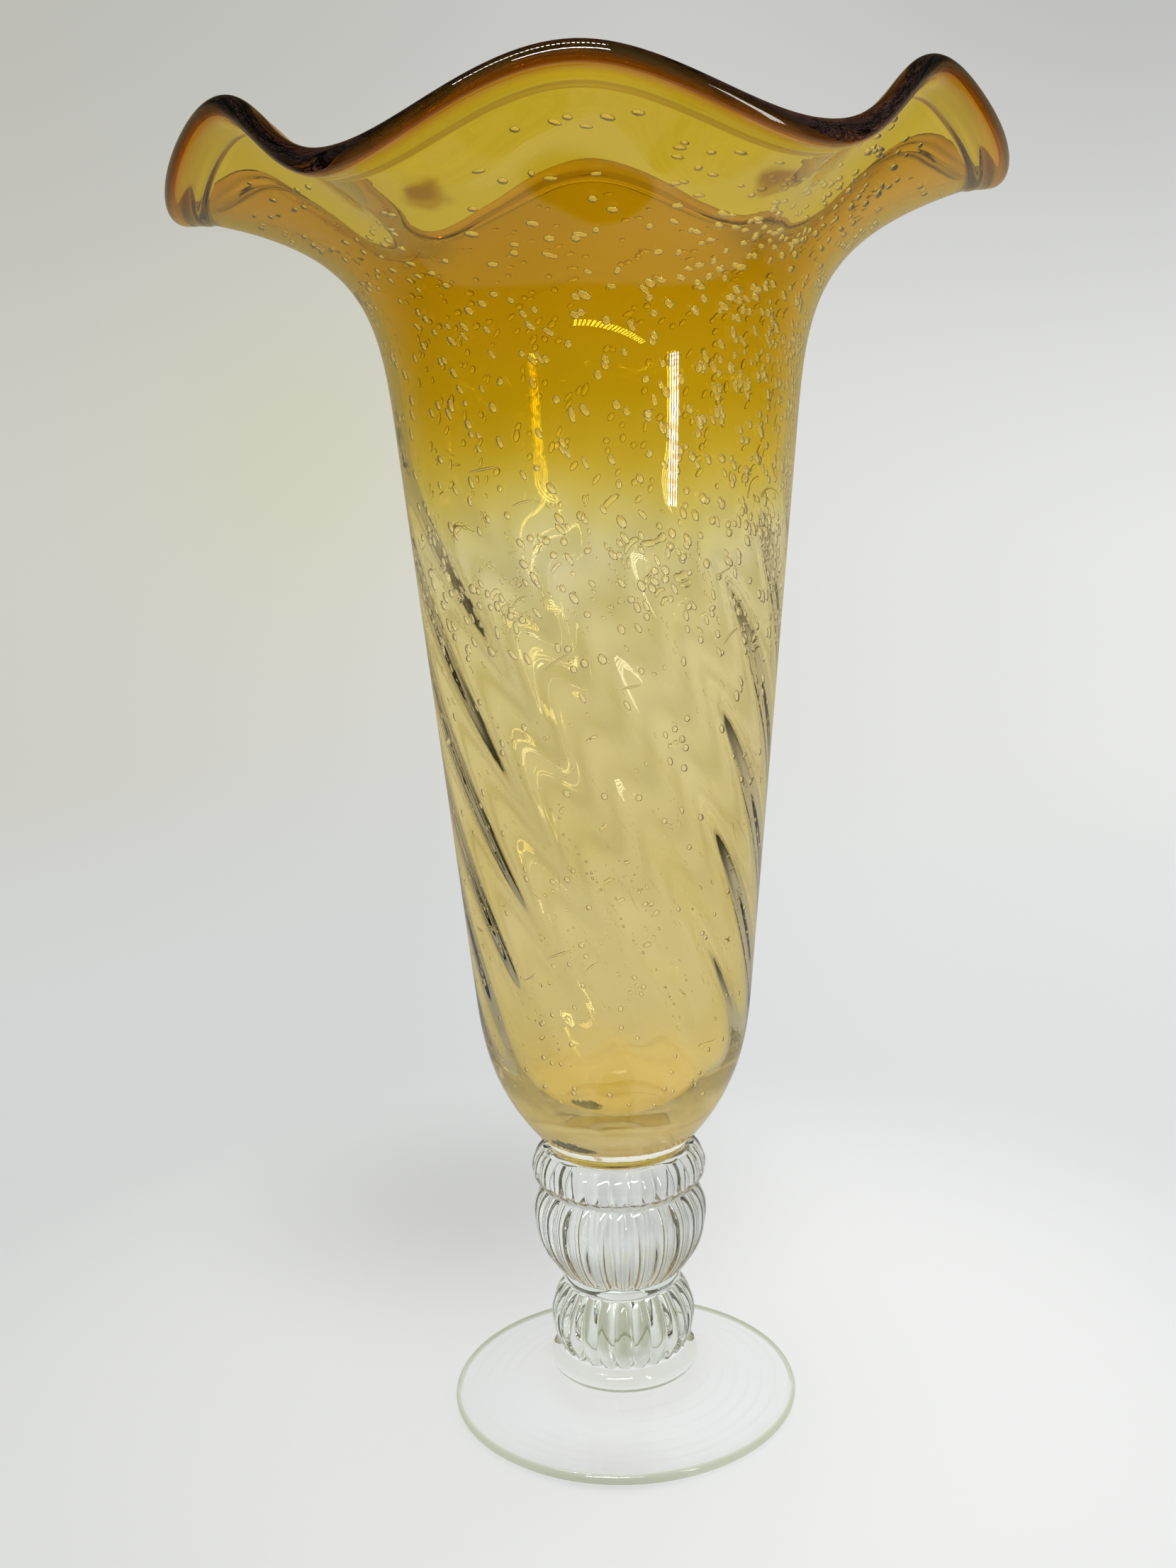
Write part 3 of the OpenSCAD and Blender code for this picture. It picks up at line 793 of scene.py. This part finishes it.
lipColours = {
    "waves": (30.0, 1.0, 0.00008),
    # colour of one side by share of the way from the joint to the tip of the bead
    "byShare": [(0.0, (0.88, 0.605, 0.035)), (0.115, (0.88, 0.605, 0.035)), (0.135, (0.50, 0.26, 0.03)),
                (0.20, (0.54, 0.29, 0.03)), (0.235, (0.84, 0.58, 0.035)), (0.58, (0.82, 0.53, 0.02)),
                (0.71, (0.75, 0.40, 0.012)), (0.82, (0.50, 0.15, 0.006)), (0.895, (0.10, 0.018, 0.004)),
                (1.0, (0.006, 0.004, 0.005))],
    # the paler back: its colour, the metres and the shares over which it comes in, and how far
    "back": (0.80, 0.56, 0.17), "backSpan": (-0.02, 0.07), "backSeam": (0.10, 0.14), "backShare": 0.92,
}


# The lip's glass: a brown line where it joins the bowl, amber in its band and nearly black in its bead;
# towards the back, by its
# Object y, it is paler from the seam out.
def lipMaterial():
    material, tree = newMaterial("amberLipGlass")
    shader = glassShader(tree, lipColours["waves"])[0]
    share = tree.nodes.new("ShaderNodeAttribute")
    share.attribute_name = "lipShare"
    ramp = tree.nodes.new("ShaderNodeValToRGB")
    setRamp(ramp, lipColours["byShare"])
    link(tree, share, "Fac", ramp, "Fac")
    y = coordinateAxes(tree, "Object")[1]
    # paler towards the back, by the Object y, from the seam out
    thin = rangeNode(tree, y, *lipColours["backSpan"], 0.0, lipColours["backShare"])
    seam = rangeNode(tree, share.outputs["Fac"], *lipColours["backSeam"], 0.0, 1.0)
    colour = mixNode(tree, timesNode(tree, thin, seam), ramp.outputs["Color"], lipColours["back"])
    tree.links.new(colour, shader.inputs["Base Color"])
    showShader(tree, shader.outputs["BSDF"])
    return material


# Where two pieces are fused there is no surface: the touching faces are clear to look through, or
# partly covered by a film of old residue.
def fusedMaterial(name, colour, cover):
    material, tree = newMaterial(name)
    shader = tree.nodes.new("ShaderNodeBsdfPrincipled")
    setInputs(shader, Alpha=cover, Roughness=0.8 if cover else 0.0, **{"Base Color": (*colour, 1.0)})
    showShader(tree, shader.outputs["BSDF"])
    return material


# the plain glasses: name, colour and hand waves
clearGlasses = [
    ("joinGlass", (0.82, 0.58, 0.05), (60.0, 1.0, 0.00004)),
    ("clearGlass", (0.93, 0.957, 0.932), (90.0, 0.35, 0.00005)),
    # painted shade: the lower knop's glass is a darker, greener copy of the clear glass
    ("clearGlassLowShaded", (0.905, 0.945, 0.895), (170.0, 0.5, 0.00012)),
]
# painted shade: the foot ring is painted dark green at its base, where it sits on the foot
ringShadedStops = [(13.0, (0.40, 0.42, 0.28)), (15.3, (0.46, 0.48, 0.33)), (16.3, (0.84, 0.875, 0.81)),
             (21.5, (0.84, 0.875, 0.81))]
fused = fusedMaterial("fusedJoint", (1.0, 1.0, 1.0), 0.0)
seatFilm = fusedMaterial("goldenJoint", amber["seatColour"], amber["seatShare"])
bowlGlass = bowlMaterial("amberGlass", 0.0)
bowlFloorGlass = bowlMaterial("amberFloorGlass", amber["filmShare"])
bubbleGlass = clearMaterial("bubbleSkin", (1.0, 1.0, 1.0), (60.0, 1.0, 0.00001), glow=seeds["glow"])
lipGlass = lipMaterial()
joinGlass, stemGlass, shadedLowStemGlass = [clearMaterial(*glass) for glass in clearGlasses]
ringGlass = clearMaterial("clearRingGlass", (0.92, 0.945, 0.90), (110.0, 0.5, 0.0004), ringShadedStops)
footGlass = footMaterial()
print("materials ready")


# Says of a piece which body it rides on and which nodes it stands for; its slot is not used.
def finishPiece(piece, slot, *nodes):
    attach(piece, "root")
    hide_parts(*nodes)
    print("made", piece.name, len(piece.data.polygons), "faces")


# A solid turned skin: its rows, closed at both ends by fans of fused faces. The first rows may
# be flat: they lie on the ground, and their faces are clear to look through as the fused ones.
def makeTurned(name, rows, material, flatRows=0):
    count, columns = rows.shape[:2]
    sides = closedQuads(count, columns)
    split = flatRows * columns
    middles, low, high = endFans(rows)
    faces = [sides[:split], sides[split:], low, high]
    points = np.concatenate([rows.reshape(-1, 3), middles])
    numbers = [fusedNumber, 0, fusedNumber, fusedNumber]
    return makePiece(name, points, faces, [material, fused], numbers)


# The bowl: its skin in parts for the glass, the seat of the lip, the inside bottom and the seat
# on the join, and then its bubbles.
def makeBowl():
    rows, topRow = bowlRows()
    count, columns = rows.shape[:2]
    sides = closedQuads(count, columns)
    row = np.arange(count - 1)
    seam = np.repeat(row == topRow - 1, columns)
    low = np.repeat((row > topRow) & (rows[:-1, 0, 2] < amber["floorGlassTo"]), columns)
    middles, seat, bottom = endFans(rows)
    points = [rows.reshape(-1, 3), middles]
    faces = [sides[~seam & ~low], sides[seam], sides[low], seat, bottom]
    materials = [bowlGlass, fused, bubbleGlass, bowlFloorGlass, seatFilm]
    numbers = [0, fusedNumber, 3, 4, 3]
    first = count * columns + len(middles)
    for spots, quads, poles in bowlBubbles():
        points.append(spots)
        faces += [quads + first, poles + first]
        numbers += [2, 2]
        first += len(spots)
    return makePiece("bowl", np.concatenate(points), faces, materials, numbers)


# The lip: its skin, closed by the faces on its seat, with each point's share of the way to the
# tip of the bead kept for its colours.
def makeLip():
    rows, share = lipRows()
    count, columns = rows.shape[:2]
    closing = closedQuads(2, columns)
    closing = np.where(closing < columns, closing + (count - 1) * columns, closing - columns)
    piece = makePiece("lip", rows.reshape(-1, 3), [closedQuads(count, columns), closing],
                      [lipGlass, fused], [0, fusedNumber])
    share = share / (1.0 + lip["bead"] / 2 / lip["width"])
    attribute = piece.data.attributes.new("lipShare", "FLOAT", "POINT")
    attribute.data.foreach_set("value", np.repeat(share, columns).astype(np.float32))
    return piece


finishPiece(makeBowl(), "amber_glass", "bowl_base", "bowl_body", "bowl_flare")
finishPiece(makeLip(), "amber_lip_glass", "lip_wrap")
finishPiece(makeTurned("bowlJoin", joinRows(), joinGlass), "join_glass", "bowl_join")
finishPiece(makeTurned("stemCollar", knopRows(collar), stemGlass), "clear_glass", "stem_collar")
finishPiece(makeTurned("upperKnop", knopRows(upperKnop), stemGlass), "clear_glass", "upper_knop")
finishPiece(makeTurned("waistRing", ringRows(waist), stemGlass), "clear_glass", "waist")
finishPiece(makeTurned("lowerKnop", knopRows(lowerKnop), shadedLowStemGlass), "clear_glass", "lower_knop")
finishPiece(makeTurned("footRing", ringRows(footRing), ringGlass), "clear_glass", "foot_ring")
footDisc = makeTurned("footDisc", footRows(), footGlass, len(foot["below"]))
finishPiece(footDisc, "clear_foot_glass", "foot")


# lengths in metres from here on
stage = {
    "floorHalf": 3.0, "floorDrop": 0.0002,
    "floorColour": (0.46, 0.478, 0.505), "floorDark": (0.02, 0.02, 0.02),
    "glow": (0.412, 0.545), "glowSpan": 0.22,            # the floor's own light at its left and right
    # painted light: dim makes the floor dimmer away from the vase, a pool of light round it; shadeAt,
    # shadeR and shade paint a shadow behind the vase; underFoot paints it brighter under the foot
    "dim": 0.28, "dimFrom": 0.12, "dimTo": 0.38,         # its loss with distance from the vase
    "shadeAt": (-0.055, 0.17), "shadeR": 0.17, "shade": 0.24,
    "fade": (0.40, 1.4),                                 # from and to where it fades into the room
    "underFoot": 1.12, "footR": 0.066, "footSoft": 0.003,       # the light that gathers under the foot
    # the room's sides, its painted warm cast behind the bowl, its loss upwards and its ceiling
    "roomLeft": (0.615, 0.615, 0.565), "roomRight": (0.81, 0.82, 0.805), "roomSpan": 0.38,
    "warmAt": (-0.15, -0.03), "warmR": 0.17, "warm": (1.0, 0.985, 0.86),
    "roomUp": (0.80, 0.62), "roomUpFrom": (0.0, 0.30), "roomUpSpan": (-0.10, 0.24),
    "ceiling": 0.7, "ceilingFrom": 0.35, "ceilingTo": 0.95,
    # what rays that were reflected see in front: a dark room, past a pale floor with a near edge,
    # its share that is left after many faces of glass, and how much duller and warmer the rest is
    "dark": 0.07, "darkFrom": 0.75, "darkTo": 0.2, "darkUp": (0.2, 0.5), "darkFloor": (0.47, 0.53),
    "farDark": 0.5, "duller": 0.4, "turnedTint": (1.0, 0.88, 0.62),
    # a painted dark patch on the floor under the flare, which only reflected rays see: its middle, half
    # sizes and soft edge
    "darkAt": (-0.008, -0.135), "darkHalf": (0.045, 0.09), "darkSoft": (0.85, 1.15),
}


# One for a ray that a surface has just reflected, zero for every other ray.
def reflectedRay(tree):
    path = tree.nodes.new("ShaderNodeLightPath")
    straight = restNode(tree, path.outputs["Is Transmission Ray"])
    return timesNode(tree, path.outputs["Is Glossy Ray"], straight)


# One for a ray that any surface has reflected on its way.
def turnedRay(tree):
    path = tree.nodes.new("ShaderNodeLightPath")
    return mathNode(tree, "GREATER_THAN", path.outputs["Glossy Depth"], 0.5)


# One for a ray that has met three faces of glass at most on its way.
def shortRay(tree):
    path = tree.nodes.new("ShaderNodeLightPath")
    return mathNode(tree, "LESS_THAN", path.outputs["Transmission Depth"], 3.5)


# How much of the dark room a ray sees: none for a straight one, and for a ray that any surface
# has reflected the more, the less it goes towards the back, where the pale backdrop stands, and
# only a share of that after many faces of glass. A steep way up is dark to short rays too.
def darkShare(tree, towardsBack, upward=None):
    side = rangeNode(tree, towardsBack, stage["darkTo"], stage["darkFrom"], 1.0, 0.0)
    side = timesNode(tree, side, shareNode(tree, restNode(tree, shortRay(tree)), stage["farDark"]))
    if upward:
        high = timesNode(tree, rangeNode(tree, upward, *stage["darkUp"], 0.0, 1.0), shortRay(tree))
        side = mathNode(tree, "MAXIMUM", side, high)
    return timesNode(tree, side, turnedRay(tree))


# The pale floor: part of its light is its own, so that glass stays clear above it. Light and shade are
# painted into it: it dims a little away from the vase as a pool of light round it, a painted shadow lies
# behind the vase, it is painted brighter under the foot, and reflected rays see a painted dark patch
# under the flare. It fades into the room.
def makeFloor():
    material, tree = newMaterial("paleFloor")
    x, y = coordinateAxes(tree, "Object")[:2]
    away = distanceNode(tree, x, y, (0.0, 0.0))
    glow = rangeNode(tree, x, -stage["glowSpan"], stage["glowSpan"], *stage["glow"])
    # painted light: dimmer away from the vase, a painted shadow behind it, and brighter under the foot
    dim = rangeNode(tree, away, stage["dimFrom"], stage["dimTo"], 1.0, 1.0 - stage["dim"])
    behind = distanceNode(tree, x, y, stage["shadeAt"])
    shade = rangeNode(tree, behind, 0.0, stage["shadeR"], 1.0 - stage["shade"], 1.0)
    footR = stage["footR"]
    gather = rangeNode(tree, away, footR - stage["footSoft"], footR, stage["underFoot"], 1.0)

    far = rangeNode(tree, away, *stage["darkFloor"], 0.0, 1.0)
    far = timesNode(tree, far, darkShare(tree, mathNode(tree, "DIVIDE", y, away)))
    # painted reflection: a dark patch under the flare that only reflected rays see
    halves = zip((x, y), stage["darkHalf"])
    across, along = [mathNode(tree, "DIVIDE", axis, half) for axis, half in halves]
    middle = [place / half for place, half in zip(stage["darkAt"], stage["darkHalf"])]
    under = rangeNode(tree, distanceNode(tree, across, along, middle), *stage["darkSoft"], 1.0, 0.0)
    dark = mathNode(tree, "MAXIMUM", far, timesNode(tree, under, turnedRay(tree), shortRay(tree)))
    light = timesNode(tree, shade, restNode(tree, dark))

    shader = tree.nodes.new("ShaderNodeBsdfPrincipled")
    setInputs(shader, Roughness=0.9,
              **{"Emission Color": (1.0, 1.0, 1.0, 1.0), "Specular IOR Level": 0.0})
    tree.links.new(timesNode(tree, glow, gather, dim, light), shader.inputs["Emission Strength"])
    colour = mixNode(tree, light, stage["floorDark"], stage["floorColour"])
    tree.links.new(colour, shader.inputs["Base Color"])
    clear = tree.nodes.new("ShaderNodeBsdfTransparent")
    showShader(tree, layShader(tree, rangeNode(tree, away, *stage["fade"], 0.0, 1.0), shader, clear))
    half, drop = stage["floorHalf"], -stage["floorDrop"]
    corners = [(-half, -half, drop), (half, -half, drop), (half, half, drop), (-half, half, drop)]
    makeSheet("floor", corners, material)


# A flat sheet of the stage between four corners.
def makeSheet(name, corners, material):
    mesh = bpy.data.meshes.new(name)
    mesh.from_pydata(corners, [], [(0, 1, 2, 3)])
    mesh.materials.append(material)
    sheet = bpy.data.objects.new(name, mesh)
    scene.collection.objects.link(sheet)
    return sheet


# The room: pale all round, brighter to the right, dimmer above the horizon and bright overhead, with a
# painted warm cast that stands in for the amber light the bowl throws on the backdrop; reflected rays
# find it dark in front.
def makeWorld():
    world = bpy.data.worlds.new("room")
    scene.world = world
    tree = newTree(world)
    x, y, z = coordinateAxes(tree, "Generated")
    side = rangeNode(tree, x, -stage["roomSpan"], stage["roomSpan"], 0.0, 1.0)
    colour = mixNode(tree, side, stage["roomLeft"], stage["roomRight"])
    # painted light: the warm cast of the bowl's amber light on the backdrop
    warm = rangeNode(tree, distanceNode(tree, x, z, stage["warmAt"]), 0.0, stage["warmR"], 1.0, 0.0)
    warm = timesNode(tree, warm, mathNode(tree, "GREATER_THAN", y, 0.0))
    colour = tintNode(tree, warm, colour, stage["warm"])
    dark = darkShare(tree, y, z)
    near = timesNode(tree, turnedRay(tree), shortRay(tree))
    colour = tintNode(tree, mathNode(tree, "MAXIMUM", near, dark), colour, stage["turnedTint"])

    least = rangeNode(tree, x, *stage["roomUpFrom"], *stage["roomUp"])
    high = rangeNode(tree, z, *stage["roomUpSpan"], 0.0, 1.0)
    up = timesNode(tree, restNode(tree, timesNode(tree, high, restNode(tree, least))),
                   shareNode(tree, near, 1.0 - stage["duller"]))
    overhead = rangeNode(tree, z, stage["ceilingFrom"], stage["ceilingTo"], 0.0, stage["ceiling"])
    light = timesNode(tree, mathNode(tree, "ADD", up, overhead), restNode(tree, dark))
    strength = mathNode(tree, "ADD", light, timesNode(tree, dark, stage["dark"]))
    background = tree.nodes.new("ShaderNodeBackground")
    tree.links.new(colour, background.inputs["Color"])
    tree.links.new(strength, background.inputs["Strength"])
    showShader(tree, background.outputs["Background"], "ShaderNodeOutputWorld")


# the upright lamp in front: lines across its width, dashes along it with the light left in the
# gaps, and how much stronger rays that went through glass meet it
strip = {"azimuth": 41.0, "distance": 0.62, "low": 0.215, "high": 0.70, "width": 0.06,
         "lines": 4, "dash": 0.008, "gap": 0.4, "strength": 30.0, "inner": 3.6}
# the long lamps overhead: their ends, width and dashes, and the height of the black shade behind
bars = {
    "rimLight": {"from": (-0.75, -0.25, 1.2), "to": (0.15, -0.25, 1.2), "width": 0.035, "dash": 0.03,
                 "strength": 110.0, "shade": 0.13, "shadeGap": 0.02},
    "arcLight": {"from": (-0.78, -1.30, 1.2), "to": (0.21, -0.97, 1.2), "width": 0.13, "dash": 0.05,
                 "strength": 110.0, "shade": 0.0},
}
waveSpans = {"line": (-0.4, 0.3), "dash": (-0.5, 0.1)}   # the part of each sine where its light comes in


# A light that only reflected and refracted rays meet, so it throws no light on the floor: an
# emission, cut by soft lines across its width and by dashes along it if asked for.
def lampMaterial(name, strength, dash=0.0, gap=0.0, lines=0, width=1.0, inner=1.0):
    material, tree = newMaterial(name)
    across, _, along = coordinateAxes(tree, "Object")
    path = tree.nodes.new("ShaderNodeLightPath")
    level = mathNode(tree, "LESS_THAN", path.outputs["Diffuse Depth"], 0.5)
    if lines:
        wave = mathNode(tree, "SINE", timesNode(tree, across, 2.0 * math.pi * lines / width))
        level = timesNode(tree, level, rangeNode(tree, wave, *waveSpans["line"], 0.0, 1.0))
    else:
        level = timesNode(tree, level, reflectedRay(tree))
    if inner != 1.0:
        through = mathNode(tree, "GREATER_THAN", path.outputs["Transmission Depth"], 0.5)
        level = timesNode(tree, level, shareNode(tree, through, inner))
    if dash:
        beat = mathNode(tree, "SINE", timesNode(tree, along, 2.0 * math.pi / dash))
        level = timesNode(tree, level, rangeNode(tree, beat, *waveSpans["dash"], gap, 1.0))
    emission = tree.nodes.new("ShaderNodeEmission")
    emission.inputs["Color"].default_value = (1.0, 1.0, 1.0, 1.0)
    tree.links.new(timesNode(tree, level, strength), emission.inputs["Strength"])
    showShader(tree, emission.outputs["Emission"])
    material.cycles.emission_sampling = "NONE"
    return material


# A flat lamp: it lies in its own X and Z, and its matrix puts it in its place.
def makeLamp(name, wide, low, high, material, matrix):
    corners = [(-wide, 0.0, low), (wide, 0.0, low), (wide, 0.0, high), (-wide, 0.0, high)]
    lamp = makeSheet(name, corners, material)
    lamp.matrix_world = matrix
    lamp.visible_camera = lamp.visible_diffuse = lamp.visible_shadow = False


# A place and three ways of its own axes as a matrix.
def placeMatrix(spot, *ways):
    return Matrix.Translation(list(spot)) @ Matrix(np.stack(ways, axis=1).tolist()).to_4x4()


# The upright lamp stands at its azimuth from the front and faces the axis. Each bar runs along
# the way between its ends and faces down, and its shade hangs upright behind it.
def makeLamps():
    turn, away = math.radians(strip["azimuth"]), strip["distance"]
    place = Matrix.Translation((away * math.sin(turn), -away * math.cos(turn), 0.0))
    glow = lampMaterial("stripGlow", strip["strength"], strip["dash"], strip["gap"], strip["lines"],
                        strip["width"], strip["inner"])
    makeLamp("stripLight", strip["width"] / 2, strip["low"], strip["high"], glow,
             place @ Matrix.Rotation(turn, 4, "Z"))
    black = lampMaterial("shadeBlack", 0.0)
    for name, bar in bars.items():
        start = np.array(bar["from"])
        along = np.array(bar["to"]) - start
        length = float(np.linalg.norm(along))
        along = along / length
        across = np.array([along[1], -along[0], 0.0])
        glow = lampMaterial(name + "Glow", bar["strength"], bar["dash"])
        makeLamp(name, bar["width"] / 2, 0.0, length, glow,
                 placeMatrix(start, across, np.cross(along, across), along))
        if bar["shade"]:
            half = bar["shade"] / 2
            middle = start + (0.0, bar["width"] / 2 + bar["shadeGap"], -half)
            makeLamp(name + "Shade", half, 0.0, length, black,
                     placeMatrix(middle, (0.0, 0.0, 1.0), (0.0, 1.0, 0.0), along))


# The camera stands in front of the axis. It looks to the back, turned to the left by its yaw and
# down by its pitch, and rolls about that way. Its lens is the focal length in the photograph's
# pixels times the sensor over the photograph's height.
def makeCamera():
    # in mm, radians and pixels
    view = {"x": -1.21, "distance": 645.33, "height": 381.94, "pitch": 0.2130, "roll": 0.0327,
            "yaw": 0.0090, "focal": 2562.34, "pictureHeight": 2212.0, "sensor": 36.0}
    camera = bpy.data.cameras.new("camera")
    camera.sensor_width = view["sensor"]
    camera.lens = view["focal"] * view["sensor"] / view["pictureHeight"]
    camera.clip_start = 0.01
    yaw, pitch, roll = view["yaw"], view["pitch"], view["roll"]
    forward = np.array([-math.sin(yaw) * math.cos(pitch), math.cos(yaw) * math.cos(pitch),
                        -math.sin(pitch)])
    level = np.array([math.cos(yaw), math.sin(yaw), 0.0])
    upright = np.cross(level, forward)
    across = math.cos(roll) * level - math.sin(roll) * upright
    up = math.sin(roll) * level + math.cos(roll) * upright
    holder = bpy.data.objects.new("camera", camera)
    spot = (view["x"] * mm, -view["distance"] * mm, view["height"] * mm)
    holder.matrix_world = placeMatrix(spot, across, up, -forward)
    scene.collection.objects.link(holder)
    scene.camera = holder


makeFloor()
makeWorld()
makeLamps()
makeCamera()
scene.view_settings.view_transform = "Standard"
scene.cycles.max_bounces = 32
scene.cycles.transmission_bounces = 32
scene.cycles.glossy_bounces = 12
scene.cycles.transparent_max_bounces = 32
scene.cycles.blur_glossy = 0.0
print("stage ready")
